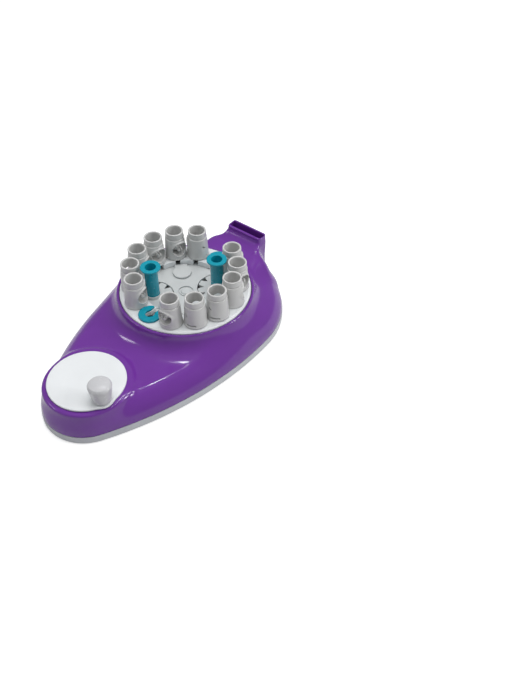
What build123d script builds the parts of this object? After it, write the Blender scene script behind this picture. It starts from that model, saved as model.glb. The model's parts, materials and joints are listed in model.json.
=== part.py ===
from build123d import *
import math
import os

# A hand-cranked braiding machine: a teardrop case, a carousel of twelve swivelling spool towers
# round two peg-topped star wheels, and a crank that turns them all through one idler gear.
# Millimetres. The layout is drawn with the carousel axis at X = 0, the crank at -X and the mast
# socket at +X, and everything is moved to the centre of the footprint when it is written.

# ---- driving dimensions: case outline ------------------------------------------------------
wide_x = 22.0            # centre of the wide end's arc
wide_r = 82.5
narrow_x = -139.0        # centre of the narrow end's arc
narrow_r = 42.2
side_r = 340.0           # long, slightly bowed flank between the two
foot_h = 0.8             # rubber feet stand this far out
seam_z = 8.0             # white tray below, coloured shell above
shoulder_h = 22.0        # seam to the flat top between crank and carousel
shoulder_run = 18.0      # how far in from the outline that top begins
shell_t = 2.4
tray_t = 2.4
lip_h = 3.0              # tray lip inside the shell
lip_t = 1.4
lip_lean = 0.8           # room for the shell wall's lean above the seam
fit_gap = 0.15           # between parts that nest
run_gap = 0.3            # between parts that move past each other
bearing_gap = 0.05       # radial play of a shaft in its hole

# ---- driving dimensions: carousel ----------------------------------------------------------
seat_count = 14
empty_seats = (2, 9)     # these two carry a hook instead of a tower
tower_peg_gap = 0.45     # between a tower's collar and a peg's flange as they pass
rim_z = 48.0             # top of the shell's round rim
rim_r = 64.2
plate_r = 63.7
plate_z = 49.5           # the surface that the towers stand on
plate_t = 4.0
well_gap = 0.5           # between the star wheels' peg sockets and the well wall
well_wall_t = 1.6
floor_z = 43.5           # top of the fixed centre plate
floor_t = 2.7
floor_r = 45.0
drum_r = 53.3            # inside of the wall below the carousel plate
drum_t = 2.0
rim_drop = 23.0          # height of the coved wall below the round rim
rim_flare = 8.8

# ---- driving dimensions: gears -------------------------------------------------------------
outer_module = 2.0
outer_teeth = 58
idler_teeth = 28
crank_teeth = 22
inner_module = 1.75
inner_teeth = 56
star_teeth = 20
backlash = 0.45
pressure_deg = 20.0
gear_z = 16.0
gear_h = 8.0
gear_side_gap = 0.5      # the thinner gears sit this far inside the ring gear's height

# ---- driving dimensions: star wheels and pegs ----------------------------------------------
star_deg = -42.0         # direction of the first star wheel, the other is opposite
star_r = 19.5
star_t = 3.0
star_notches = 10
notch_depth = 4.6
notch_half_deg = 9.5
star_phase_deg = (15.0, 28.0)
peg_top_z = 79.4
peg_r = 6.6
peg_bore_r = 5.3
peg_bore_depth = 9.0
flange_r = 9.7
flange_t = 1.7
socket_ring_r = 7.6
socket_ring_h = 3.4
hub_r = 5.6
axle_r = 2.5

# ---- driving dimensions: towers ------------------------------------------------------------
tower_h = 30.2
tower_base_r = 11.1
tower_base_t = 1.9
tower_waist_r = 9.3      # just under the collar
collar_r = 9.05
collar_h = 6.8
collar_step = 0.7
bore_r = 6.6
pocket_r = 6.6           # round side pocket for a spool
pocket_z = 10.2
pocket_back = 6.0
lip_out = 1.3
swing_r = 11.1           # nothing on a tower reaches past this
stem_r = 4.0
stem_len = 4.3
arbor_cone_r = 4.7
arbor_r = 2.3
arbor_tip_r = 2.9
arbor_slit = 0.9
# Each tower is left turned its own way; the direction that its spool pocket faces, by seat.
tower_yaw_deg = {0: -74.0, 1: -40.0, 3: 70.0, 4: -78.0, 5: -128.0, 6: -100.0,
                 7: 100.0, 8: -112.0, 10: 150.0, 11: -24.0, 12: -10.0, 13: -44.0}

# ---- driving dimensions: hooks, tongues, hub -----------------------------------------------
hook_r = 11.0
hook_t = 2.4
hook_hole_r = 4.2
hook_gap = 6.0
hook_pin_r = 1.2
tongue_r = 9.3
tongue_neck = 12.6
tongue_t = 2.2
tongue_at_r = 27.5
hub_cap_r = 6.0
column_r = 9.0
post_r = 4.0

# ---- driving dimensions: crank -------------------------------------------------------------
crank_z = 35.0
crank_r = 35.6
crank_t = 2.2
crank_dish = 0.9
crank_hub_r = 9.0
crank_hub_h = 4.0
bush_r = 9.6
bush_h = 3.0
shaft_r = 4.0
collar_gap = 0.6         # disc over the shell's round top
crank_seat_r = 38.0
knob_at_r = 28.0
knob_at_deg = -106.0
knob_base_r = 9.1
knob_top_r = 10.7
knob_h = 19.6
knob_dome = 1.0
knob_lobe_r = 9.9
knob_pin_r = 2.5

# ---- driving dimensions: mast socket -------------------------------------------------------
socket_top_z = 59.5
socket_w = 43.0          # across, along Y
socket_d = 12.8          # along X
socket_wall = 2.3
socket_rear_x = 103.4
socket_depth = 28.0

# ---- driving dimensions: chassis and fasteners ---------------------------------------------
chassis_z = 9.0
chassis_t = 3.0
chassis_r = 56.5
chassis_arm = 25.0       # half width of the arm that carries the idler and the crank
race_r = (48.5, 55.0)
post_at_r = 44.0         # inside the bearing race
post_foot_r = 4.5
screw_r = 1.5
screw_head_r = 2.8
screw_head_h = 1.8
foot_r = 7.0
foot_t = 2.0
boss_r = 4.2

tray_z = foot_h
tray_floor_z = tray_z + tray_t
top_z = seam_z + shoulder_h
outer_pitch_r = outer_module * outer_teeth / 2
idler_pitch_r = outer_module * idler_teeth / 2
crank_pitch_r = outer_module * crank_teeth / 2
idler_x = -(outer_pitch_r + idler_pitch_r)
crank_x = idler_x - idler_pitch_r - crank_pitch_r
inner_pitch_r = inner_module * inner_teeth / 2
star_pitch_r = inner_module * star_teeth / 2
star_at_r = inner_pitch_r - star_pitch_r
gear_top_z = gear_z + gear_h
bush_z = crank_z - crank_t - crank_hub_h - run_gap - bush_h
seat_r = star_at_r + flange_r + collar_r + tower_peg_gap
well_r = star_at_r + socket_ring_r + well_gap
seat_pitch_deg = 360 / seat_count
seat_start_deg = -empty_seats[0] * seat_pitch_deg
origin_x = (narrow_x - narrow_r + wide_x + wide_r) / 2

parts = {}


def polar(radius, degrees):
    return radius * math.cos(math.radians(degrees)), radius * math.sin(math.radians(degrees))


def disc(radius, z_low, z_high, x=0.0, y=0.0):
    return Pos(x, y, z_low) * Cylinder(radius, z_high - z_low, align=(Align.CENTER, Align.CENTER, Align.MIN))


def ring(r_out, r_in, z_low, z_high, x=0.0, y=0.0):
    return disc(r_out, z_low, z_high, x, y) - disc(r_in, z_low - 1, z_high + 1, x, y)


def block(x_low, x_high, y_low, y_high, z_low, z_high):
    size = (x_high - x_low, y_high - y_low, z_high - z_low)
    return Pos(x_low, y_low, z_low) * Box(*size, align=(Align.MIN, Align.MIN, Align.MIN))


def turned(points):
    """A solid of revolution about Z from (radius, height) points."""
    face = make_face(Polyline([(r, 0, z) for r, z in points], close=True))
    return revolve(face, Axis.Z)


# ---- case outline --------------------------------------------------------------------------
def outline(inset, z):
    """The teardrop, drawn in by inset: two end arcs and two long flank arcs, all tangent."""
    r1, r2, r3 = narrow_r - inset, wide_r - inset, side_r - inset
    span = wide_x - narrow_x
    d1, d2 = side_r - narrow_r, side_r - wide_r
    along = (span ** 2 + d1 ** 2 - d2 ** 2) / (2 * span)
    cx, cy = narrow_x + along, -math.sqrt(d1 ** 2 - along ** 2)
    a1 = math.atan2(-cy, narrow_x - cx)
    a2 = math.atan2(-cy, wide_x - cx)
    mid = (a1 + a2) / 2
    left = (cx + r3 * math.cos(a1), cy + r3 * math.sin(a1))
    right = (cx + r3 * math.cos(a2), cy + r3 * math.sin(a2))
    crest = (cx + r3 * math.cos(mid), cy + r3 * math.sin(mid))
    edges = [
        ThreePointArc((left[0], left[1], z), (crest[0], crest[1], z), (right[0], right[1], z)),
        ThreePointArc((right[0], right[1], z), (wide_x + r2, 0, z), (right[0], -right[1], z)),
        ThreePointArc((right[0], -right[1], z), (crest[0], -crest[1], z), (left[0], -left[1], z)),
        ThreePointArc((left[0], -left[1], z), (narrow_x - r1, 0, z), (left[0], left[1], z)),
    ]
    return Face(Wire(edges))


def prism(inset, z_low, z_high):
    return extrude(outline(inset, z_low), z_high - z_low, dir=(0, 0, 1))


def rear_box(inset, z_low, z_high):
    half = socket_w / 2 - inset
    return block(wide_x, socket_rear_x - inset, -half, half, z_low, z_high)


# The flank rises from the seam as shares of shoulder_run inward and shoulder_h upward.
shoulder_shape = ((0.0, 0.0), (0.03, 0.16), (0.15, 0.41), (0.36, 0.68), (0.64, 0.89), (1.0, 1.0))


def pillow(thickness):
    """The case body below the rims, drawn in all over by thickness."""
    sections = []
    for run, rise in shoulder_shape:
        lean = math.hypot(1 - run, run)
        inward = thickness * (1 - run) / lean
        down = thickness * run / lean
        z = seam_z + shoulder_h * rise - down
        sections.append(outline(shoulder_run * run + inward, z))
    return loft(sections)


def rim_drum(thickness):
    """The coved wall that carries the round rim, drawn in by thickness."""
    low = rim_z - rim_drop
    shape = ((0.0, 0.0), (0.12, 0.3), (0.32, 0.62), (0.62, 0.86), (1.0, 1.0))
    points = [(0, low), (0, rim_z - thickness)]
    for out, drop in shape:
        radius = rim_r + 1.2 + rim_flare * out - thickness
        points.append((radius, rim_z - thickness - (rim_drop - thickness) * drop))
    return turned(points)


def crank_drum(thickness):
    """The round seat below the crank disc, drawn in by thickness."""
    top = crank_z - crank_t - collar_gap - thickness
    r = crank_seat_r - thickness
    spread = narrow_r - crank_seat_r
    points = [(0, seam_z + 1), (0, top), (r - 0.8, top), (r, top - 0.8), (r + 0.1 * spread, top - 5),
              (r + 0.4 * spread, top - 12), (r + 0.75 * spread, seam_z + 6), (r + 0.9 * spread, seam_z + 1)]
    return Pos(crank_x, 0, 0) * turned(points)


def socket_body(thickness):
    """The mast socket and the concave flares that blend it into the case."""
    sections = []
    # (height, half width, front X, corner radius)
    stations = ((top_z - 12, 40.0, 58.0, 9.0), (top_z + 2, 33.5, 66.0, 9.0), (rim_z - 4, 25.5, 80.0, 6.0),
                (rim_z + 4, socket_w / 2 + 0.8, socket_rear_x - socket_d - 1.6, 3.5),
                (socket_top_z, socket_w / 2, socket_rear_x - socket_d, 2.6))
    for z, half, front, corner in stations:
        length = socket_rear_x - front - 2 * thickness
        width = 2 * (half - thickness)
        middle = (socket_rear_x + front) / 2
        sections.append(Pos(middle, 0, z) * RectangleRounded(length, width, max(corner - thickness, 1.0)))
    return loft([s.face() for s in sections])


tray_screws = [(-170.0, 0.0), (-100.0, 42.0), (-100.0, -42.0), (-4.0, 71.5), (-4.0, -71.5)]
tray_screws += [(82.0, 34.0), (82.0, -34.0)]
foot_places = [(-146.0, 24.0), (-146.0, -24.0), (40.0, 58.0), (40.0, -58.0), (88.0, 0.0)]
boss_low_z = 13.0
chassis_posts = [polar(post_at_r, a) for a in (30, 100, 200, 260, 330)]
chassis_posts += [(crank_x - 14, 14), (crank_x - 14, -14)]


def top_shell():
    outer = pillow(0.0) + rim_drum(0.0) + crank_drum(0.0)
    outer += socket_body(0.0) & prism(0.0, seam_z, socket_top_z + 1) + rear_box(0.0, seam_z, socket_top_z + 1)
    outer += rear_box(0.0, seam_z, top_z - 6)
    inner = pillow(shell_t) + rim_drum(shell_t) + crank_drum(shell_t)
    inner += rear_box(shell_t, seam_z - 1, top_z - 6 - shell_t)
    inner -= disc(bush_r + 3.5, bush_z, crank_z, crank_x)
    shell = outer - inner
    half = socket_w / 2 - socket_wall
    front = socket_rear_x - socket_d + socket_wall
    shell -= block(front, socket_rear_x - socket_wall, -half, half, socket_top_z - socket_depth, socket_top_z + 1)
    shell -= disc(rim_r, gear_top_z, rim_z + 1)
    shell -= disc(bush_r, seam_z, crank_z, crank_x)
    for x, y in tray_screws:
        shell += disc(boss_r, boss_low_z, top_z + 20, x, y) & outer
        shell -= disc(screw_r + bearing_gap, boss_low_z - 1, boss_low_z + 7, x, y)
    return shell


def base_tray():
    tray = prism(0.0, tray_z, seam_z) + rear_box(0.0, tray_z, seam_z)
    tray -= prism(tray_t + lip_t, tray_floor_z, seam_z + 1) + rear_box(tray_t + lip_t, tray_floor_z, seam_z + 1)
    lip_out_inset = shell_t + lip_lean
    lip = prism(lip_out_inset, seam_z - 1, seam_z + lip_h) - prism(lip_out_inset + lip_t, tray_z, seam_z + lip_h + 1)
    tray += lip - block(wide_x + 60, 200, -60, 60, seam_z, 20)
    for x, y in tray_screws:
        tray += disc(boss_r, tray_z, boss_low_z, x, y)
        tray -= disc(screw_r + bearing_gap, 0, boss_low_z + 1, x, y)
        tray -= disc(screw_head_r + fit_gap, 0, tray_floor_z + screw_head_h, x, y)
    for x, y in chassis_posts:
        tray += disc(post_foot_r, tray_z, chassis_z, x, y)
        tray -= disc(screw_r + bearing_gap, chassis_z - 5, chassis_z + 1, x, y)
    for x, y in foot_places:
        tray -= disc(foot_r + fit_gap, 0, tray_z + foot_t - foot_h, x, y)
    return tray



post_places = [polar(tongue_at_r, star_deg + 90), polar(tongue_at_r, star_deg - 90)]
star_places = [polar(star_at_r, star_deg), polar(star_at_r, star_deg + 180)]


def chassis():
    top = chassis_z + chassis_t
    plate = disc(chassis_r, chassis_z, top)
    plate += block(crank_x, 0, -chassis_arm, chassis_arm, chassis_z, top)
    plate += disc(chassis_arm, chassis_z, top, crank_x)
    for x, y in chassis_posts:
        plate -= disc(screw_r + bearing_gap, chassis_z - 1, top + 1, x, y)
    plate += disc(column_r, top - 1, floor_z - floor_t)
    for x, y in post_places:
        plate += disc(post_r, top - 1, floor_z - floor_t, x, y)
    for x, y in star_places:
        plate += disc(hub_r, top - 1, gear_z - run_gap, x, y)
        plate -= disc(axle_r, chassis_z - 1, gear_z + 1, x, y)
    plate += disc(hub_r, top - 1, gear_z + gear_side_gap - run_gap, idler_x)
    plate -= disc(axle_r, chassis_z - 1, gear_z + 1, idler_x)
    plate += disc(shaft_r + 3, top - 1, gear_z + gear_side_gap - run_gap, crank_x)
    plate -= disc(shaft_r + bearing_gap, chassis_z - 1, gear_z + 1, crank_x)
    return plate


# ---- gears ---------------------------------------------------------------------------------
def gear_face(module, teeth, phase_deg, addendum, dedendum, slack):
    """Outline of straight-flanked teeth; one tooth is centred on phase_deg."""
    pitch_r = module * teeth / 2
    pitch = 360 / teeth
    half = pitch / 4 - math.degrees(slack / 2 / pitch_r)
    lean = math.tan(math.radians(pressure_deg))
    tip_r, root_r = pitch_r + addendum * module, pitch_r - dedendum * module
    tip_half = half - math.degrees(addendum * module * lean / pitch_r)
    root_half = half + math.degrees(dedendum * module * lean / pitch_r) * 0.7
    points = []
    for k in range(teeth):
        middle = phase_deg + k * pitch
        for radius, turn in ((root_r, -root_half), (tip_r, -tip_half), (tip_r, tip_half), (root_r, root_half)):
            points.append(polar(radius, middle + turn))
    return make_face(Polyline(points, close=True))


def spur_gear(module, teeth, phase_deg, z_low, z_high, x=0.0, y=0.0):
    face = gear_face(module, teeth, phase_deg, 0.9, 1.2, backlash)
    return Pos(x, y, z_low) * extrude(face, z_high - z_low)


def ring_gear():
    body = spur_gear(outer_module, outer_teeth, 0.0, gear_z, gear_top_z)
    spaces = gear_face(inner_module, inner_teeth, star_deg, 1.2, 0.8, -backlash)
    return body - Pos(0, 0, gear_z - 1) * extrude(spaces, gear_h + 2)


low_gear_z = gear_z + gear_side_gap
high_gear_z = gear_top_z - gear_side_gap


def star_pinion(number):
    x, y = star_places[number]
    toothed = star_deg + 180 * number
    body = spur_gear(inner_module, star_teeth, toothed, low_gear_z, high_gear_z, x, y)
    return body - disc(hub_r, low_gear_z - 1, high_gear_z + 1, x, y)


# ---- carousel ------------------------------------------------------------------------------
def seat_places():
    return [polar(seat_r, seat_start_deg + k * seat_pitch_deg) for k in range(seat_count)]


def carousel_plate():
    underside = plate_z - plate_t
    plate = turned([(well_r, underside), (plate_r, underside), (plate_r, plate_z - 1.6), (plate_r - 0.5, plate_z - 0.9),
                    (plate_r - 2.0, plate_z), (well_r, plate_z)])
    plate += ring(well_r + well_wall_t, well_r, floor_z + 0.6, underside + 0.5)
    for x, y in seat_places():
        plate -= disc(stem_r + bearing_gap, underside - 1, plate_z + 1, x, y)
    slot = block(well_r - 2, seat_r, -hook_gap / 2 + 0.6, hook_gap / 2 - 0.6, underside - 4, plate_z + 1)
    for k in range(seat_count):
        plate -= Rot(0, 0, seat_start_deg + k * seat_pitch_deg) * slot
    for k in empty_seats:
        for side in (-1, 1):
            x, y = hook_pin_place(k, side)
            plate -= disc(hook_pin_r, plate_z - 2.2, plate_z + 1, x, y)
    return plate


def carousel_drum():
    return ring(drum_r + drum_t, drum_r, gear_top_z, plate_z - plate_t)


def hook_pin_place(seat, side):
    angle = math.radians(seat_start_deg + seat * seat_pitch_deg)
    x, y = polar(seat_r, math.degrees(angle))
    away = 0.70 * hook_r
    return x - math.sin(angle) * side * away, y + math.cos(angle) * side * away


def carousel_hook(seat):
    """A flat horseshoe whose gap faces the middle of the carousel."""
    angle = seat_start_deg + seat * seat_pitch_deg
    x, y = polar(seat_r, angle)
    plate = disc(hook_r, plate_z, plate_z + hook_t) - disc(hook_hole_r, plate_z - 1, plate_z + hook_t + 1)
    plate -= block(-hook_r - 1, 0, -hook_gap / 2, hook_gap / 2, plate_z - 1, plate_z + hook_t + 1)
    plate = fillet(plate.edges().filter_by(Axis.Z).group_by(Axis.X)[0], 1.2)
    plate = Pos(x, y, 0) * Rot(0, 0, angle) * plate
    for side in (-1, 1):
        px, py = hook_pin_place(seat, side)
        plate += disc(hook_pin_r, plate_z - 2.0, plate_z + 0.5, px, py)
    return plate


# ---- star wheels, pegs, centre -------------------------------------------------------------
def star_wheel(number):
    x, y = star_places[number]
    phase = star_phase_deg[number]
    low = floor_z - star_t
    wheel = disc(star_r, low, floor_z)
    pitch = 360 / star_notches
    for k in range(star_notches):
        middle = phase + k * pitch
        notch = [polar(star_r - notch_depth, middle), polar(star_r + 2, middle - notch_half_deg * 1.2),
                 polar(star_r + 2, middle + notch_half_deg * 1.2)]
        wheel -= Pos(0, 0, low - 1) * extrude(make_face(Polyline(notch, close=True)), star_t + 2)
    wheel += disc(hub_r, gear_z, low + 0.5)
    wheel += ring(socket_ring_r, peg_r, floor_z - 0.5, floor_z + socket_ring_h)
    wheel -= disc(axle_r + bearing_gap, gear_z - 1, floor_z - 1)
    return Pos(x, y, 0) * wheel


def guide_peg(number):
    x, y = star_places[number]
    under = peg_top_z - flange_t
    peg = turned([(0, floor_z), (peg_r, floor_z), (peg_r, under - 1.2), (peg_r + 0.8, under), (flange_r - 0.4, under),
                  (flange_r, under + 0.4), (flange_r, peg_top_z - 0.5), (flange_r - 0.5, peg_top_z),
                  (peg_bore_r, peg_top_z), (peg_bore_r, peg_top_z - peg_bore_depth), (0, peg_top_z - peg_bore_depth)])
    return Pos(x, y, 0) * peg


def centre_plate():
    low = floor_z - floor_t
    plate = disc(floor_r, low, floor_z)
    for x, y in star_places:
        plate -= disc(star_r + 0.6, low - 1, floor_z + 1, x, y)
    plate -= ring(hub_cap_r + 1.6, hub_cap_r, floor_z - 1.4, floor_z + 1)
    plate -= disc(screw_r + bearing_gap, low - 1, floor_z + 1)
    for x, y in post_places:
        plate -= disc(screw_r, low - 1, floor_z + 1, x, y)
    return plate


def guide_tongue(number):
    angle = star_deg + 90 + 180 * number
    x, y = polar(tongue_at_r, angle)
    top = floor_z + tongue_t
    tab = disc(tongue_r, floor_z + 0.6, top) + disc(tongue_r - 2.2, floor_z, floor_z + 1)
    tab += block(0, well_r - tongue_at_r - 0.8, -tongue_neck / 2, tongue_neck / 2, floor_z, top)
    tab = chamfer(tab.edges().group_by(Axis.Z)[-1], 0.4)
    tab += disc(screw_r, floor_z - floor_t, floor_z + 0.5)
    return Pos(x, y, 0) * Rot(0, 0, angle) * tab


def hub_cap():
    low = floor_z - floor_t
    cap = turned([(0, floor_z), (hub_cap_r - 1, floor_z), (hub_cap_r - 1.6, floor_z + 1.0), (0, floor_z + 1.4)])
    return cap + disc(screw_r, low, floor_z + 0.5)


# ---- towers --------------------------------------------------------------------------------
def tower_shell():
    """One tower standing at the origin with its spool pocket facing +X."""
    collar_low = tower_h - collar_h
    body = turned([(0, 0), (tower_base_r, 0), (tower_base_r, tower_base_t), (tower_base_r - 0.6, tower_base_t + 0.6),
                   ((tower_base_r + tower_waist_r) / 2 + 0.2, pocket_z - 1), (tower_waist_r, collar_low - collar_step),
                   (tower_waist_r - 0.7, collar_low - collar_step), (tower_waist_r - 0.7, collar_low),
                   (collar_r, collar_low), (collar_r, tower_h - 0.7), (collar_r - 0.7, tower_h), (0, tower_h)])
    flange = Pos(0, 0, pocket_z) * Rot(0, 90, 0) * disc(pocket_r + lip_out, 2, swing_r)
    body += flange & disc(swing_r - 0.15, 0, tower_h)
    body -= Pos(0, 0, pocket_z) * Rot(0, 90, 0) * disc(pocket_r, -pocket_back, 14)
    body -= disc(bore_r, pocket_z, tower_h + 1)
    body -= Pos(0, 0, tower_h - 0.6) * Cone(bore_r, bore_r + 0.8, 0.8, align=(Align.CENTER, Align.CENTER, Align.MIN))
    body -= Pos(-tower_base_r, 4.2, pocket_z + 1.5) * Rot(38, 0, 0) * Box(6.5, 3.6, 1.3)
    body -= block(-12, -7.8, -5.5, 3.5, 3.1, 4.3)
    return body + disc(stem_r, -stem_len, 0.5)


def spool_arbor():
    """The cone and split snap post that a spool turns on, in the same place as its tower."""
    back = -pocket_back
    tip = swing_r - 0.5
    post = turned([(0, back), (arbor_cone_r, back), (arbor_cone_r - 0.5, back + 2.2), (arbor_r + 0.9, back + 4.0),
                   (arbor_r + 0.9, back + 4.8), (arbor_r, back + 5.2), (arbor_r, tip - 3.4), (arbor_tip_r, tip - 2.4),
                   (arbor_tip_r - 0.3, tip - 1.2), (arbor_tip_r - 1.4, tip), (0, tip)])
    post -= block(-4, 4, -arbor_slit / 2, arbor_slit / 2, back + 7.5, tip + 1)
    return Pos(0, 0, pocket_z) * Rot(0, 90, 0) * post


# ---- crank ---------------------------------------------------------------------------------
knob_x, knob_y = polar(knob_at_r, knob_at_deg)
knob_x += crank_x


def crank_disc():
    low = crank_z - crank_t
    body = turned([(0, low), (crank_r - 0.6, low), (crank_r, low + 0.6), (crank_r, crank_z - 0.7),
                   (crank_r - 0.7, crank_z), (crank_r - 4, crank_z - 0.25), (crank_r * 0.5, crank_z - crank_dish),
                   (0, crank_z - crank_dish)])
    body = Pos(crank_x, 0, 0) * body
    body += disc(knob_lobe_r, low, crank_z, knob_x, knob_y)
    body += ring(crank_hub_r, shaft_r, low - crank_hub_h, low + 0.5, crank_x)
    return body - disc(knob_pin_r, low - 1, crank_z + 1, knob_x, knob_y)


def crank_shaft():
    low = crank_z - crank_t
    return disc(shaft_r, chassis_z, low, crank_x)


def crank_knob():
    low = crank_z + run_gap
    high = crank_z + knob_h
    knob = turned([(0, low), (knob_base_r - 0.5, low), (knob_base_r, low + 0.5), (knob_top_r - 0.1, high - 2.2),
                   (knob_top_r - 0.3, high - 1.1), (knob_top_r - 1.2, high - 0.3), (knob_top_r - 3.2, high + 0.4),
                   (knob_top_r - 6.5, high + 0.85), (0, high + knob_dome)])
    knob -= disc(knob_pin_r + bearing_gap, low - 1, high - 4)
    return Pos(knob_x, knob_y, 0) * knob


def knob_pin():
    low = crank_z - crank_t
    return disc(knob_pin_r, low, crank_z + knob_h - 4 - run_gap, knob_x, knob_y)


def crank_gear():
    body = spur_gear(outer_module, crank_teeth, 0.0, low_gear_z, high_gear_z, crank_x)
    return body - disc(shaft_r, low_gear_z - 1, high_gear_z + 1, crank_x)


def crank_bush():
    return ring(bush_r, shaft_r + bearing_gap, bush_z, bush_z + bush_h, crank_x)


def idler_gear():
    body = spur_gear(outer_module, idler_teeth, 180 / idler_teeth, low_gear_z, high_gear_z, idler_x)
    body -= disc(axle_r + bearing_gap, low_gear_z - 1, high_gear_z + 1, idler_x)
    for k in range(6):
        x, y = polar(idler_pitch_r * 0.55, 60 * k + 30)
        body -= disc(idler_pitch_r * 0.17, low_gear_z - 1, high_gear_z + 1, idler_x + x, y)
    return body


def idler_axle():
    return disc(axle_r, chassis_z, high_gear_z + run_gap + 0.2, idler_x) + disc(
        axle_r + 1.5, high_gear_z + run_gap, high_gear_z + run_gap + 1.2, idler_x)


def star_axle(number):
    x, y = star_places[number]
    return disc(axle_r, chassis_z, floor_z - 1 - run_gap, x, y)


# ---- fasteners and feet --------------------------------------------------------------------
def screw(x, y, z_head, length):
    """A pan head at z_head and below it, with the shank going up."""
    return disc(screw_head_r, z_head, z_head + screw_head_h, x, y) + disc(
        screw_r, z_head + screw_head_h - 0.5, z_head + screw_head_h + length, x, y)


def case_screws():
    head_z = tray_floor_z
    length = boss_low_z + 6 - head_z - screw_head_h
    return Compound([screw(x, y, head_z, length) for x, y in tray_screws])


def chassis_screws():
    top = chassis_z + chassis_t
    screws = []
    for x, y in chassis_posts:
        screws.append(disc(screw_r, chassis_z - 4, top + 0.5, x, y) + disc(screw_head_r, top, top + 1.4, x, y))
    return Compound(screws)


def rubber_feet():
    return Compound([disc(foot_r, 0, foot_t, x, y) for x, y in foot_places])


# ---- every node ----------------------------------------------------------------------------
parts["base_tray"] = base_tray()
parts["top_shell"] = top_shell()
parts["chassis"] = chassis()
parts["rubber_feet"] = rubber_feet()
parts["case_screws"] = case_screws()
parts["chassis_screws"] = chassis_screws()
parts["bearing_race"] = ring(race_r[1], race_r[0], chassis_z + chassis_t, gear_z - run_gap)
parts["centre_plate"] = centre_plate()
parts["hub_cap"] = hub_cap()
parts["carousel_plate"] = carousel_plate()
parts["carousel_drum"] = carousel_drum()
parts["ring_gear"] = ring_gear()
for seat, name in zip(empty_seats, ("rear", "front")):
    parts["carousel_hook_" + name] = carousel_hook(seat)
for number, name in enumerate(("right", "left")):
    parts["star_wheel_" + name] = star_wheel(number)
    parts["star_pinion_" + name] = star_pinion(number)
    parts["guide_peg_" + name] = guide_peg(number)
    parts["star_axle_" + name] = star_axle(number)
for number, name in enumerate(("rear", "front")):
    parts["guide_tongue_" + name] = guide_tongue(number)
parts["crank_disc"] = crank_disc()
parts["crank_shaft"] = crank_shaft()
parts["crank_gear"] = crank_gear()
parts["crank_bush"] = crank_bush()
parts["crank_knob"] = crank_knob()
parts["knob_pin"] = knob_pin()
parts["idler_gear"] = idler_gear()
parts["idler_axle"] = idler_axle()

tower, arbor = tower_shell(), spool_arbor()
taken = [k for k in range(seat_count) if k not in empty_seats]
for count, seat in enumerate(taken, start=1):
    x, y = seat_places()[seat]
    place = Pos(x, y, plate_z + run_gap) * Rot(0, 0, tower_yaw_deg[seat])
    parts[f"tower_{count:02d}"] = place * tower
    parts[f"spool_arbor_{count:02d}"] = place * arbor

os.makedirs("parts", exist_ok=True)
for name, solid in parts.items():
    export_step(Pos(-origin_x, 0, 0) * solid, f"parts/{name}.step")
print(len(parts), "nodes, origin shift", round(origin_x, 3))
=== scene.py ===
import itertools
import json
import math

import bpy
import numpy as np
from mathutils import Matrix, Vector

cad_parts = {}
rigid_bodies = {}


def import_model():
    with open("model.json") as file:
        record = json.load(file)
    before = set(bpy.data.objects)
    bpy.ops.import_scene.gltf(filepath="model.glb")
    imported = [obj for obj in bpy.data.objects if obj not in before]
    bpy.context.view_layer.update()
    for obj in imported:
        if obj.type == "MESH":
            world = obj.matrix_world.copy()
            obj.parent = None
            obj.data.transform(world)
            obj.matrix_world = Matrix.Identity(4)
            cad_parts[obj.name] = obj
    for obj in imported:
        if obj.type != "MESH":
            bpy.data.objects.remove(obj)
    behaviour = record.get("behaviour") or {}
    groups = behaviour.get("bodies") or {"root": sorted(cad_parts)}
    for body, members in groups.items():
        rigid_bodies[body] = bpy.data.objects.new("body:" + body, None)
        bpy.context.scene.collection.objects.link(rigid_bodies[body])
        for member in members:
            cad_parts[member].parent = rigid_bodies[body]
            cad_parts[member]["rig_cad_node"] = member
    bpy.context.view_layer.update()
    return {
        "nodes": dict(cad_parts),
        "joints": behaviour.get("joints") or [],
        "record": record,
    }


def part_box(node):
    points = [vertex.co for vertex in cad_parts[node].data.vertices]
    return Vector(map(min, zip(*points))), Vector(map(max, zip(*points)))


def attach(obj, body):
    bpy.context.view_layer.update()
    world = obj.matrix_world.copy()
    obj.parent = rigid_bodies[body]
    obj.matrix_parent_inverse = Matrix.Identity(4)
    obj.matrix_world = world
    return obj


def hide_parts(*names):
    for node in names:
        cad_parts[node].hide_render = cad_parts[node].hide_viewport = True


# The looks of a hand-cranked braiding machine. Pieces are drawn in millimetres with the
# carousel axis at X = 0, the crank at -X and the mast socket at +X, and then moved into the frame.

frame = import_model()
MM = 0.001

joint_at = {j["name"]: Vector(j["pos_m"]) / MM for j in frame["joints"]}
carousel_x = joint_at["carousel_spin"].x
crank_x = joint_at["crank_spin"].x - carousel_x


def node_box(node):
    """Lowest and highest corner of a node, in millimetres round the carousel axis."""
    low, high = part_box(node)
    shift = Vector((carousel_x, 0, 0))
    return low / MM - shift, high / MM - shift


# ---- driving dimensions, millimetres --------------------------------------------------------
wide_x, wide_r = 22.0, 82.5
narrow_x, narrow_r = -139.0, 42.2
side_r = 340.0
seam_z = node_box("top_shell")[0].z
shoulder_run = 18.0
plateau_z = 30.0
shoulder_power = 1.65
shell_t = 2.8
rim_r = 64.2
rim_z = 48.0
rim_wall_r = 66.0
cove = 25.0
rim_floor_z = 24.0
seat_r = 40.3
seat_z = 32.4
socket_base_x = 103.4
socket_lean_z = 38.0
socket_lean = 0.05
socket_top_z = 59.5
socket_depth = 28.0
socket_wall = 2.4
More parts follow.
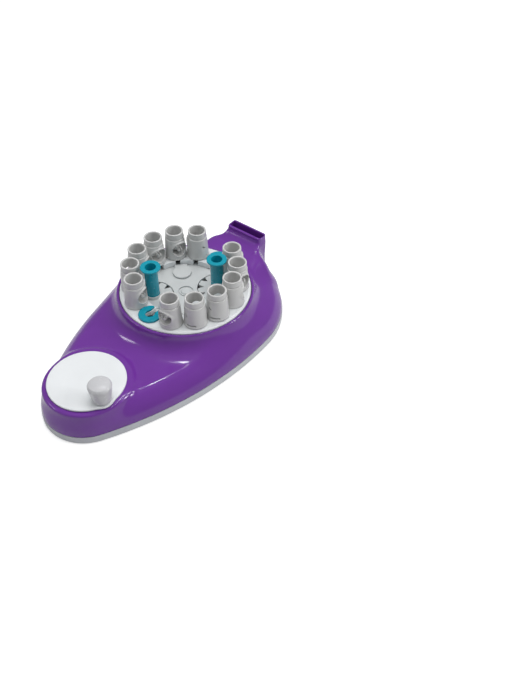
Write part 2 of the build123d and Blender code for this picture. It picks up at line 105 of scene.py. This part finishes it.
# height, half width, front X and corner radius of the socket and the deck that it grows from
socket_rows = ((18.0, 46.0, 40.0, 9.0), (32.0, 42.0, 46.0, 9.0), (40.0, 37.0, 54.0, 9.0),
               (45.5, 32.0, 66.0, 9.0), (49.0, 27.3, 81.0, 6.0), (53.0, 23.5, 88.8, 4.5),
               (60.0, 21.9, 91.6, 4.0))
socket_inner_corner = 1.6
deck_x = 80.0             # in front of it nothing stands above the round rim
join_fillet = 8.0         # between the case's main forms
# height and inset from the outline of the rear's slope
rear_rows = ((8.0, 0.0), (18.0, 2.2), (28.0, 6.5), (40.0, 10.5), (50.0, 15.5))
bush_r = 9.6
shell_step = 1.15
edge = 0.6                # softness of moulded edges


# ---- surfaces from fields ------------------------------------------------------------------
def blend_min(a, b, k):
    """The union of two fields with a fillet of about k."""
    h = np.clip(0.5 + 0.5 * (b - a) / k, 0, 1)
    return b * (1 - h) + a * h - k * h * (1 - h)


def blend_max(a, b, k):
    """The intersection of two fields with an edge rounded by about k."""
    return -blend_min(-a, -b, k)


def field_net(field, low, high, step):
    """Points and quads of the surface where field(x, y, z) crosses from negative, inside, to positive."""
    axes = [np.arange(l - step, h + 1.6 * step, step) for l, h in zip(low, high)]
    grid = field(*np.meshgrid(*axes, indexing="ij", sparse=True)).astype(np.float32)
    n = [len(a) - 1 for a in axes]
    corners = list(itertools.product((0, 1), repeat=3))

    def corner(c):
        return grid[c[0]:c[0] + n[0], c[1]:c[1] + n[1], c[2]:c[2] + n[2]]

    inside = sum((corner(c) < 0).astype(np.int8) for c in corners)
    active = np.argwhere((inside > 0) & (inside < 8))
    total = np.zeros((len(active), 3))
    hits = np.zeros(len(active))
    i, j, k = active.T
    for a, b in itertools.combinations(corners, 2):
        if sum(abs(p - q) for p, q in zip(a, b)) != 1:
            continue
        va = grid[i + a[0], j + a[1], k + a[2]]
        vb = grid[i + b[0], j + b[1], k + b[2]]
        cross = (va < 0) != (vb < 0)
        t = np.where(cross, va / np.where(cross, va - vb, 1), 0)
        at = np.array(a) + t[:, None] * (np.array(b) - np.array(a))
        total += at * cross[:, None]
        hits += cross
    points = (active + total / hits[:, None]) * step + np.array([a[0] for a in axes])
    number = np.full(n, -1, np.int64)
    number[i, j, k] = np.arange(len(active))
    quads = []
    for axis in range(3):
        p, q = (axis + 1) % 3, (axis + 2) % 3
        first = np.moveaxis(grid, axis, 0)[:-1] < 0
        second = np.moveaxis(grid, axis, 0)[1:] < 0
        for flip in (False, True):
            change = (second & ~first) if flip else (first & ~second)
            at = np.argwhere(change)
            cell = np.zeros_like(at)
            cell[:, axis] = at[:, 0]
            others = [x for x in range(3) if x != axis]
            cell[:, others[0]], cell[:, others[1]] = at[:, 1], at[:, 2]
            ring = []
            for dp, dq in ((0, 0), (1, 0), (1, 1), (0, 1)):
                c = cell.copy()
                c[:, p] -= dp
                c[:, q] -= dq
                ring.append(number[c[:, 0], c[:, 1], c[:, 2]])
            ring = np.stack(ring if not flip else ring[::-1], 1)
            quads.append(ring[(ring >= 0).all(1)])
    return points, np.concatenate(quads)


def field_slope(field, points, reach=0.04):
    slope = np.zeros_like(points)
    for axis in range(3):
        step = np.zeros(3)
        step[axis] = reach
        ahead, behind = (points + step).T, (points - step).T
        slope[:, axis] = (field(*ahead) - field(*behind)) / (2 * reach)
    return slope


def onto_level(field, points, step, rounds=3):
    """Moves the points onto the field's zero level, none by more than 0.6 of a step."""
    start = points.copy()
    for _ in range(rounds):
        slope = field_slope(field, points)
        size = np.maximum((slope ** 2).sum(1), 0.05)
        points = points - (field(*points.T) / size)[:, None] * slope
        away = points - start
        far = np.maximum(np.linalg.norm(away, axis=1) / (0.6 * step), 1)
        points = start + away / far[:, None]
    return points


def mesh_object(name, points, faces, place=None, normals=None):
    """A smooth mesh object from millimetre points, moved into the frame."""
    place = Matrix.Translation((carousel_x, 0, 0)) if place is None else place
    mesh = bpy.data.meshes.new(name)
    mesh.from_pydata([tuple(p) for p in points], [], [tuple(f) for f in faces])
    mesh.transform(Matrix.Scale(MM, 4) @ place)
    mesh.shade_smooth()
    if normals is not None:
        turned = np.asarray(normals) @ np.array(place.to_3x3()).T
        mesh.normals_split_custom_set_from_vertices(turned.tolist())
    made = bpy.data.objects.new(name, mesh)
    bpy.context.scene.collection.objects.link(made)
    return made


def field_object(name, field, low, high, step, place=None):
    points, quads = field_net(field, low, high, step)
    points = onto_level(field, points, step)
    slope = field_slope(field, points)
    normals = slope / np.maximum(np.linalg.norm(slope, axis=1), 1e-6)[:, None]
    return mesh_object(name, points, quads, place, normals)


# ---- case shell ----------------------------------------------------------------------------
span = wide_x - narrow_x
near, far = side_r - narrow_r, side_r - wide_r
along = (span ** 2 + near ** 2 - far ** 2) / (2 * span)
flank_x, flank_y = narrow_x + along, -math.sqrt(near ** 2 - along ** 2)
narrow_turn = math.atan2(-flank_y, narrow_x - flank_x)
wide_turn = math.atan2(-flank_y, wide_x - flank_x)


def outline_inset(x, y):
    """How far a point lies inside the teardrop outline."""
    side = np.abs(y)
    turn = np.arctan2(side - flank_y, x - flank_x)
    flank = side_r - np.hypot(x - flank_x, side - flank_y)
    narrow = narrow_r - np.hypot(x - narrow_x, side)
    wide = wide_r - np.hypot(x - wide_x, side)
    return np.where(turn > narrow_turn, narrow, np.where(turn < wide_turn, wide, flank))


def along_rows(z, rows, column):
    """A smooth curve through one column of the rows over the first, level beyond both ends."""
    heights = np.array([row[0] for row in rows])
    values = np.array([row[column] for row in rows])
    slopes = np.gradient(values, heights)
    z = np.clip(z, heights[0], heights[-1])
    k = np.clip(np.searchsorted(heights, z, "right") - 1, 0, len(rows) - 2)
    gap = heights[k + 1] - heights[k]
    t = (z - heights[k]) / gap
    rise = values[k + 1] - values[k]
    ends = slopes[k] * gap * t * (1 - t) ** 2 - slopes[k + 1] * gap * t * t * (1 - t)
    return values[k] + rise * t * t * (3 - 2 * t) + ends


def socket_rear(z):
    return socket_base_x + socket_lean * np.clip(z - socket_lean_z, 0, None)


def rounded_box(x, y, front, rear, half, corner):
    """Signed distance from a rounded rectangle in plan."""
    dx = np.abs(x - (front + rear) / 2) - (rear - front) / 2 + corner
    dy = np.abs(y) - half + corner
    return np.hypot(np.maximum(dx, 0), np.maximum(dy, 0)) + np.minimum(np.maximum(dx, dy), 0) - corner


def socket_pocket(x, y, z):
    front, half = socket_rows[-1][2] + socket_wall, socket_rows[-1][1] - socket_wall
    plan = rounded_box(x, y, front, socket_rear(z) - socket_wall, half, socket_inner_corner)
    return np.maximum(plan, socket_top_z - socket_depth - z)


def rear_outside(x, y, z, inset):
    """The mast socket and the raised deck between it and the round rim."""
    half, front, corner = (along_rows(z, socket_rows, column) for column in (1, 2, 3))
    tower = rounded_box(x, y, front, socket_rear(z), half, corner)
    slope = along_rows(z, rear_rows, 1) - inset
    tower = blend_max(tower, blend_min(slope, np.abs(y) - socket_rows[-1][1], join_fillet), 5.0)
    return blend_max(tower, z - socket_top_z, 1.2)


def shell_body(x, y, z, inset):
    """The case without its mast socket: pillow, round rim and crank seat."""
    run = np.clip((shoulder_run - inset) / shoulder_run, 0, None)
    rise = np.clip((z - seam_z) / (plateau_z - seam_z), 0, None)
    total = run ** shoulder_power + rise ** shoulder_power
    pillow = (total ** (1 / shoulder_power) - 1) * (plateau_z - seam_z)
    drum = blend_max(np.hypot(x, y) - rim_wall_r, z - rim_z, 2.0)
    seat = blend_max(np.hypot(x - crank_x, y) - seat_r, z - seat_z, 3.0)
    return blend_min(blend_min(pillow, drum, cove), seat, join_fillet)


def shell_outside(x, y, z):
    inset = outline_inset(x, y)
    body = blend_min(shell_body(x, y, z, inset), rear_outside(x, y, z, inset), join_fillet)
    body = blend_max(body, z - np.where(x < deck_x, rim_z, socket_top_z), 1.0)
    body = blend_max(body, x - socket_rear(z), 2.0)
    square = np.maximum(np.abs(y) - socket_rows[-1][1], wide_x - x)
    base = blend_min(-inset, square, 2.0)
    return np.where((z < socket_lean_z) | (x < wide_x), blend_max(body, base, 2.0), body)


def shell_field(x, y, z):
    outside = shell_outside(x, y, z)
    inset = outline_inset(x, y)
    pocket = socket_pocket(x, y, z)
    hollow = blend_max(shell_body(x, y, z, inset), -inset, 2.0) + shell_t
    hollow = np.maximum(hollow, socket_wall - pocket)
    well = np.maximum(np.hypot(x, y) - rim_r, rim_floor_z - z)
    shaft = np.hypot(x - crank_x, y) - bush_r
    shell = blend_max(outside, -hollow, 0.4)
    for cut in (well, pocket, shaft):
        shell = blend_max(shell, -cut, edge)
    return blend_max(shell, seam_z - z, edge)


def make_shell():
    low, high = node_box("top_shell")
    shell = field_object("case_shell", shell_field, low, high, shell_step)
    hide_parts("top_shell")
    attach(shell, "case")
    paint(shell, "purple_plastic")


# ---- towers --------------------------------------------------------------------------------
plate_z = 49.5
run_gap = 0.3
tower_h = 30.2
tower_foot_r, tower_top_r = 10.9, 9.6
collar_r, collar_h = 9.05, 7.0
bore_r = 7.2
pocket_r, pocket_z, pocket_back = 7.3, 12.4, 6.0
pocket_lip = 1.3
swing_r = 11.1
tower_step = 0.5
mouth_h, mouth_slope = 0.9, 0.7
# the slanted slot beside the pocket: middle from the pocket's, turn, half size and reach in -X
dash_y, dash_up, dash_turn = 4.2, 1.5, math.radians(38)
dash_half_w, dash_half_h, dash_back = 1.8, 0.65, 5
# the level slot near the foot: middle, half size and reach in -X
smile_y, smile_z = -1.0, 3.7
smile_half_w, smile_half_h, smile_back = 4.5, 0.6, 7.6
# radius of each step of the arbor and the X at which it ends
arbor_hub_r, arbor_hub_x = 4.6, 3.4
arbor_shoulder_r, arbor_shoulder_x = 3.3, 5.2
arbor_post_r, arbor_post_x = 2.2, 8.5
arbor_tip_r, arbor_tip_x = 2.7, 8.3
arbor_slit_half_w, arbor_slit_x = 0.45, 4.5
arbor_step = 0.35


def tower_outside(x, y, z):
    r = np.hypot(x, y)
    ledge = tower_h - collar_h
    wall_r = tower_foot_r + (tower_top_r - tower_foot_r) * z / ledge
    body = blend_max(r - wall_r, z - ledge, 0.8)
    collar = blend_max(r - collar_r, z - tower_h, 1.0)
    groove = np.hypot(r - collar_r, z - ledge - 0.4) - 0.45
    body = blend_max(blend_min(body, collar, 0.5), -groove, 0.4)
    lip = np.maximum(np.hypot(y, z - pocket_z) - pocket_r - pocket_lip, 2 - x)
    body = blend_min(body, blend_max(lip, r - swing_r, 0.8), 1.2)
    foot = np.maximum(r - tower_foot_r - 0.15, z - 1.8)
    return blend_max(blend_min(body, foot, 0.8), -z, 0.8)


def tower_field(x, y, z):
    r = np.hypot(x, y)
    pocket = np.maximum(np.hypot(y, z - pocket_z) - pocket_r, -x - pocket_back)
    mouth = np.clip(z - tower_h + mouth_h, 0, None) * mouth_slope
    bore = np.maximum(r - bore_r - mouth, pocket_z - z)
    body = tower_outside(x, y, z)
    for cut in (pocket, bore):
        body = blend_max(body, -cut, 0.6)
    cos, sin = math.cos(dash_turn), math.sin(dash_turn)
    across = (y - dash_y) * cos + (z - pocket_z - dash_up) * sin
    upward = (z - pocket_z - dash_up) * cos - (y - dash_y) * sin
    dash = np.maximum(np.abs(across) - dash_half_w, np.abs(upward) - dash_half_h)
    smile = np.maximum(np.abs(y - smile_y) - smile_half_w, np.abs(z - smile_z) - smile_half_h)
    body = blend_max(body, -np.maximum(dash, x + dash_back), 0.3)
    return blend_max(body, -np.maximum(smile, x + smile_back), 0.3)


def arbor_field(x, y, z):
    """A stepped hub and a split snap tip along +X, at the height of the pocket."""
    r = np.hypot(y, z - pocket_z)
    hub = blend_max(r - arbor_hub_r, np.maximum(x - arbor_hub_x, -x - pocket_back), 0.8)
    shoulder = blend_max(r - arbor_shoulder_r, np.maximum(x - arbor_shoulder_x, -x), 0.8)
    post = np.maximum(r - arbor_post_r, np.maximum(x - arbor_post_x, -x))
    tip = np.hypot(r, x - arbor_tip_x) - arbor_tip_r
    whole = blend_min(blend_min(hub, shoulder, 0.5), blend_min(post, tip, 0.5), 0.4)
    slit = np.maximum(np.abs(y) - arbor_slit_half_w, arbor_slit_x - x)
    return blend_max(whole, -slit, 0.3)


def make_towers():
    for joint in frame["joints"]:
        if not joint["name"].endswith("_swivel"):
            continue
        number = joint["name"].split("_")[1]
        low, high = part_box("spool_arbor_" + number)
        axis = joint_at[joint["name"]]
        toward = (low + high) / 2 / MM - axis
        place = Matrix.Translation((axis.x, axis.y, plate_z + run_gap))
        place @= Matrix.Rotation(math.atan2(toward.y, toward.x), 4, "Z")
        reach = swing_r + 0.5
        tower = field_object("spool_tower_%s_shell" % number, tower_field, (-reach, -reach, -0.5),
                             (reach, reach, tower_h + 0.5), tower_step, place)
        arbor = field_object("spool_tower_%s_arbor" % number, arbor_field, (-6.5, -5, pocket_z - 5),
                             (11.5, 5, pocket_z + 5), arbor_step, place)
        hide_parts("tower_" + number)
        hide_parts("spool_arbor_" + number)
        for piece in (tower, arbor):
            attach(piece, joint["child"])
            paint(piece, "tower_plastic")


# ---- turned pieces -------------------------------------------------------------------------
def turned_object(name, profile, x, y, turns=96):
    """A lathe-turned solid from (radius, height) points, closed where the radius is 0."""
    points, faces, rows = [], [], []
    for radius, height in profile:
        if radius == 0:
            rows.append([len(points)])
            points.append((x, y, height))
            continue
        rows.append(list(range(len(points), len(points) + turns)))
        for k in range(turns):
            angle = 2 * math.pi * k / turns
            points.append((x + radius * math.cos(angle), y + radius * math.sin(angle), height))
    for below, above in zip(rows, rows[1:]):
        for k in range(turns):
            m = (k + 1) % turns
            if len(below) == 1:
                faces.append((below[0], above[m], above[k]))
            elif len(above) == 1:
                faces.append((below[k], below[m], above[0]))
            else:
                faces.append((below[k], below[m], above[m], above[k]))
    return mesh_object(name, points, faces)


def rounded(profile, radius, steps=5):
    """The same profile with every corner between its two ends rounded."""
    out = [profile[0]]
    for before, at, after in zip(profile, profile[1:], profile[2:]):
        p, q, s = Vector(before), Vector(at), Vector(after)
        one, two = p - q, s - q
        cut = min(radius, 0.45 * one.length, 0.45 * two.length)
        start, end = q + one.normalized() * cut, q + two.normalized() * cut
        for k in range(steps + 1):
            t = k / steps
            out.append(tuple((1 - t) ** 2 * start + 2 * t * (1 - t) * q + t ** 2 * end))
    out.append(profile[-1])
    return out


floor_z = 43.5
peg_top_z = 79.4
peg_r, peg_bore_r, peg_bore_depth = 6.6, 5.3, 9.0
flange_r, flange_t = 9.7, 1.9


def make_pegs():
    under = peg_top_z - flange_t
    profile = [(0, floor_z), (peg_r, floor_z), (peg_r - 0.25, under - 1.4), (peg_r + 0.4, under - 0.4),
               (flange_r, under), (flange_r, peg_top_z), (peg_bore_r, peg_top_z),
               (peg_bore_r - 0.2, peg_top_z - peg_bore_depth), (0, peg_top_z - peg_bore_depth)]
    for side in ("right", "left"):
        at = joint_at["star_%s_spin" % side]
        peg = turned_object("guide_peg_%s_skin" % side, rounded(profile, 0.5), at.x - carousel_x, at.y)
        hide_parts("guide_peg_" + side)
        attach(peg, "star_" + side)
        paint(peg, "teal_plastic")


# ---- star wheels ---------------------------------------------------------------------------
star_r, star_t = 19.5, 3.0
star_notches = 10
notch_depth, notch_half_w = 6.0, 2.7
star_phase = {"right": math.radians(15.0), "left": math.radians(28.0)}
star_hub_r, star_hub_len = 5.6, 27.5
peg_socket_r, peg_socket_h = 7.7, 3.4


def make_stars():
    for side in ("right", "left"):
        def star_field(x, y, z, phase=star_phase[side]):
            r = np.hypot(x, y)
            pitch = 2 * math.pi / star_notches
            turn = np.mod(np.arctan2(y, x) - phase + pitch / 2, pitch) - pitch / 2
            tip_r = star_r - notch_depth
            notch = np.maximum(np.abs(turn) * r - notch_half_w * (r - tip_r) / notch_depth, tip_r - r)
            wheel = blend_max(r - star_r, np.maximum(z, -star_t - z), 0.4)
            wheel = blend_max(wheel, -notch, 0.4)
            hub = np.maximum(r - star_hub_r, np.maximum(z + 1, -star_hub_len - z))
            ring = np.maximum(r - peg_socket_r, peg_r - r)
            socket = blend_max(ring, np.maximum(z - peg_socket_h, -1 - z), 0.4)
            return blend_min(np.minimum(wheel, hub), socket, 0.5)

        at = joint_at["star_%s_spin" % side]
        place = Matrix.Translation((at.x, at.y, floor_z))
        reach = star_r + 0.5
        star = field_object("star_wheel_%s_skin" % side, star_field, (-reach, -reach, -star_hub_len - 0.5),
                            (reach, reach, peg_socket_h + 0.5), 0.5, place)
        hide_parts("star_wheel_" + side)
        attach(star, "star_" + side)
        paint(star, "light_grey_plastic")


# ---- crank ---------------------------------------------------------------------------------
crank_z = 35.0
crank_t = 2.2
crank_r = 35.6
crank_dish = 0.9
dish_rim_w, dish_run = 3.0, 16.0       # the flat rim round the dish, and how far the dish falls
crank_hub_r, crank_hub_len = 9.0, 4.0
knob_base_r, knob_top_r, knob_h, knob_dome = 8.5, 10.9, 19.4, 2.0
knob_lobe_r = 9.9
knob_x = joint_at["knob_spin"].x - carousel_x
knob_y = joint_at["knob_spin"].y


def crank_field(x, y, z):
    r = np.hypot(x - crank_x, y)
    lobe = np.hypot(x - knob_x, y - knob_y) - knob_lobe_r
    rim = blend_min(r - crank_r, lobe, 3.0)
    dish = crank_dish * np.clip((crank_r - dish_rim_w - r) / dish_run, 0, 1)
    dish = dish * dish * (3 - 2 * np.clip(dish / crank_dish, 0, 1)) / crank_dish
    dish = dish * np.clip(lobe / 5.0, 0, 1)
    slab = blend_max(z - crank_z + dish, crank_z - crank_t - z, 0.2)
    body = blend_max(rim, slab, 1.0)
    length = np.maximum(z - crank_z + 1.2, crank_z - crank_t - crank_hub_len - z)
    return blend_min(body, np.maximum(r - crank_hub_r, length), 0.4)


def make_crank():
    reach = crank_r + 3.5
    disc = field_object("crank_disc_skin", crank_field,
                        (crank_x - reach, -reach - 3, crank_z - crank_t - 4.5),
                        (crank_x + reach, reach, crank_z + 0.5), 0.8)
    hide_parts("crank_disc")
    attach(disc, "crank")
    paint(disc, "white_plastic")
    low, high = crank_z + run_gap, crank_z + knob_h
    profile = [(0, low), (knob_base_r, low), (knob_top_r, high - 1.6)]
    for k in range(1, 10):
        share = k / 10
        radius = knob_top_r - 0.5 - share * (knob_top_r - 0.5)
        profile.append((radius, high + knob_dome * (1 - (1 - share) ** 2.4)))
    profile.append((0, high + knob_dome))
    knob = turned_object("crank_knob_skin", rounded(profile, 1.6, 8), knob_x, knob_y)
    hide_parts("crank_knob")
    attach(knob, "knob")
    paint(knob, "knob_plastic")


# ---- hooks ---------------------------------------------------------------------------------
hook_r, hook_t, hook_hole_r, hook_gap = 11.0, 2.4, 4.2, 6.0
hook_at_r = 50.7


def make_hooks():
    def hook_field(x, y, z):
        r = np.hypot(x, y)
        ring = blend_max(r - hook_r, hook_hole_r - r, 0.8)
        gap = np.maximum(np.abs(y) - hook_gap / 2, x)
        flat = blend_max(z - hook_t, -z, 0.2)
        return blend_max(blend_max(ring, -gap, 1.6), flat, 0.7)

    for side, at_x, turn in (("rear", hook_at_r, 0.0), ("front", -hook_at_r, math.pi)):
        place = Matrix.Translation((carousel_x + at_x, 0, plate_z))
        place @= Matrix.Rotation(turn, 4, "Z")
        reach = hook_r + 0.4
        hook = field_object("carousel_hook_%s_skin" % side, hook_field, (-reach, -reach, -0.4),
                            (reach, reach, hook_t + 0.4), 0.45, place)
        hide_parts("carousel_hook_" + side)
        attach(hook, "carousel")
        paint(hook, "teal_plastic")


# ---- materials -----------------------------------------------------------------------------
def plastic(name, colour, rough, coat=0.0, tint=0.04, patch=45.0, grain=1400.0, bump=0.05):
    """Moulded plastic: faint patches of colour, uneven gloss and a fine skin."""
    material = bpy.data.materials.new(name)
    material.use_nodes = True
    nodes, links = material.node_tree.nodes, material.node_tree.links
    shader = nodes["Principled BSDF"]
    shader.inputs["IOR"].default_value = 1.5
    shader.inputs["Coat Weight"].default_value = coat
    shader.inputs["Coat Roughness"].default_value = 0.06
    where = nodes.new("ShaderNodeTexCoord").outputs["Object"]

    def noise(scale, detail):
        made = nodes.new("ShaderNodeTexNoise")
        made.inputs["Scale"].default_value = scale
        made.inputs["Detail"].default_value = detail
        links.new(where, made.inputs["Vector"])
        return made.outputs["Fac"]

    def spread(source, low, high):
        made = nodes.new("ShaderNodeMapRange")
        made.inputs["From Min"].default_value = 0.3
        made.inputs["From Max"].default_value = 0.7
        made.inputs["To Min"].default_value = low
        made.inputs["To Max"].default_value = high
        links.new(source, made.inputs["Value"])
        return made.outputs["Result"]

    ramp = nodes.new("ShaderNodeValToRGB")
    for stop, share in zip(ramp.color_ramp.elements, (1 - tint, 1 + tint)):
        stop.color = [min(c * share, 1) for c in colour] + [1]
    ramp.color_ramp.elements[0].position = 0.3
    ramp.color_ramp.elements[1].position = 0.7
    links.new(noise(patch, 3), ramp.inputs["Fac"])
    links.new(ramp.outputs["Color"], shader.inputs["Base Color"])
    links.new(spread(noise(patch * 6, 4), rough * 0.93, rough * 1.08), shader.inputs["Roughness"])
    skin = nodes.new("ShaderNodeBump")
    skin.inputs["Strength"].default_value = bump
    skin.inputs["Distance"].default_value = 0.0002
    links.new(noise(grain, 2), skin.inputs["Height"])
    links.new(skin.outputs["Normal"], shader.inputs["Normal"])
    return material


def steel(name):
    material = plastic(name, (0.58, 0.58, 0.57), 0.32, tint=0.03)
    material.node_tree.nodes["Principled BSDF"].inputs["Metallic"].default_value = 1.0
    return material


finishes = {
    "purple_plastic": plastic("look_purple", (0.150, 0.030, 0.300), 0.15, coat=0.3, tint=0.02, bump=0.02),
    "pale_plastic": plastic("look_pale", (0.56, 0.57, 0.60), 0.32),
    "white_plastic": plastic("look_white", (0.78, 0.80, 0.81), 0.30, tint=0.015, bump=0.02),
    "tower_plastic": plastic("look_tower", (0.60, 0.60, 0.59), 0.24, coat=0.1, tint=0.02, bump=0.02),
    "light_grey_plastic": plastic("look_light_grey", (0.60, 0.62, 0.62), 0.36, tint=0.02, bump=0.02),
    "grey_plastic": plastic("look_grey", (0.30, 0.30, 0.29), 0.45),
    "knob_plastic": plastic("look_knob", (0.56, 0.56, 0.575), 0.26, coat=0.1, tint=0.015, bump=0.02),
    "teal_plastic": plastic("look_teal", (0.0, 0.29, 0.39), 0.26, coat=0.1, tint=0.02, bump=0.02),
    "nylon": plastic("look_nylon", (0.72, 0.71, 0.66), 0.45),
    "foot_rubber": plastic("look_rubber", (0.20, 0.20, 0.21), 0.7),
    "screw_steel": steel("look_steel"),
}


def paint(piece, slot):
    piece.data.materials.clear()
    piece.data.materials.append(finishes[slot])


def paint_nodes():
    for part in frame["record"]["subparts"]:
        paint(frame["nodes"][part["node"]], part["material_slot"])


# ---- floor, light and camera ---------------------------------------------------------------
def make_floor():
    reach = 3.0
    corners = [(-reach, -reach, 0), (reach, -reach, 0), (reach, reach, 0), (-reach, reach, 0)]
    mesh = bpy.data.meshes.new("floor")
    mesh.from_pydata(corners, [], [(0, 1, 2, 3)])
    floor = bpy.data.objects.new("floor", mesh)
    bpy.context.scene.collection.objects.link(floor)
    material = bpy.data.materials.new("floor")
    material.use_nodes = True
    nodes, links = material.node_tree.nodes, material.node_tree.links
    shader = nodes["Principled BSDF"]
    shader.inputs["Base Color"].default_value = (0.72, 0.72, 0.72, 1)
    shader.inputs["Roughness"].default_value = 0.9
    shader.inputs["Specular IOR Level"].default_value = 0.1
    shader.inputs["Emission Color"].default_value = (1, 1, 1, 1)
    ray = nodes.new("ShaderNodeLightPath")
    seen = nodes.new("ShaderNodeMath")
    seen.operation = "MULTIPLY"
    seen.inputs[1].default_value = 0.5
    links.new(ray.outputs["Is Camera Ray"], seen.inputs[0])
    links.new(seen.outputs["Value"], shader.inputs["Emission Strength"])
    mesh.materials.append(material)


def make_world():
    world = bpy.data.worlds.new("studio")
    bpy.context.scene.world = world
    world.use_nodes = True
    nodes, links = world.node_tree.nodes, world.node_tree.links
    plain = nodes["Background"]
    plain.inputs["Color"].default_value = (1, 1, 1, 1)
    plain.inputs["Strength"].default_value = 1.0
    dim = nodes.new("ShaderNodeBackground")
    dim.inputs["Color"].default_value = (0.95, 0.97, 1, 1)
    dim.inputs["Strength"].default_value = 0.30
    ray = nodes.new("ShaderNodeLightPath")
    either = nodes.new("ShaderNodeMixShader")
    links.new(ray.outputs["Is Camera Ray"], either.inputs["Fac"])
    links.new(dim.outputs["Background"], either.inputs[1])
    links.new(plain.outputs["Background"], either.inputs[2])
    links.new(either.outputs["Shader"], nodes["World Output"].inputs["Surface"])


def make_lamp(name, place, size, power, mirrored=True, aim=(0, 0, 0.03)):
    lamp = bpy.data.lights.new(name, "AREA")
    lamp.shape = "RECTANGLE"
    lamp.size, lamp.size_y = size
    lamp.energy = power
    made = bpy.data.objects.new(name, lamp)
    bpy.context.scene.collection.objects.link(made)
    made.location = place
    made.visible_glossy = mirrored
    made.rotation_euler = (Vector(aim) - Vector(place)).to_track_quat("-Z", "Y").to_euler()


sensor_h = 36.0
focal_over_height = 800 / 700


def make_camera():
    camera = bpy.data.cameras.new("camera")
    camera.sensor_fit = "VERTICAL"
    camera.sensor_height = sensor_h
    camera.lens = focal_over_height * sensor_h
    made = bpy.data.objects.new("camera", camera)
    bpy.context.scene.collection.objects.link(made)
    right = Vector((0.598472, -0.801073, 0.010640))
    up = Vector((0.573162, 0.437406, 0.692937))
    ahead = Vector((0.559747, 0.408605, -0.720920))
    turn = Matrix((right, up, -ahead)).transposed().to_4x4()
    place = Vector((carousel_x - 425.200, -404.169, 567.438)) * MM
    made.matrix_world = Matrix.Translation(place) @ turn
    bpy.context.scene.camera = made


paint_nodes()
make_shell()
make_towers()
make_pegs()
make_stars()
make_crank()
make_hooks()
make_floor()
make_world()
make_lamp("overhead", (0.1, 0.0, 1.5), (1.2, 1.2), 14.4, mirrored=False)
make_lamp("window", (0.55, -1.10, 0.62), (0.07, 0.6), 3.2)
make_lamp("second_window", (0.80, -0.95, 0.95), (0.06, 0.5), 3.0)
make_lamp("spot", (0.30, 0.35, 1.5), (0.07, 0.07), 1.0)
make_lamp("second_spot", (0.45, 0.15, 1.5), (0.07, 0.07), 1.0)
make_lamp("far_strip", (-0.5, 0.9, 1.1), (0.5, 0.10), 1.5)
make_camera()
bpy.context.scene.view_settings.view_transform = "Standard"
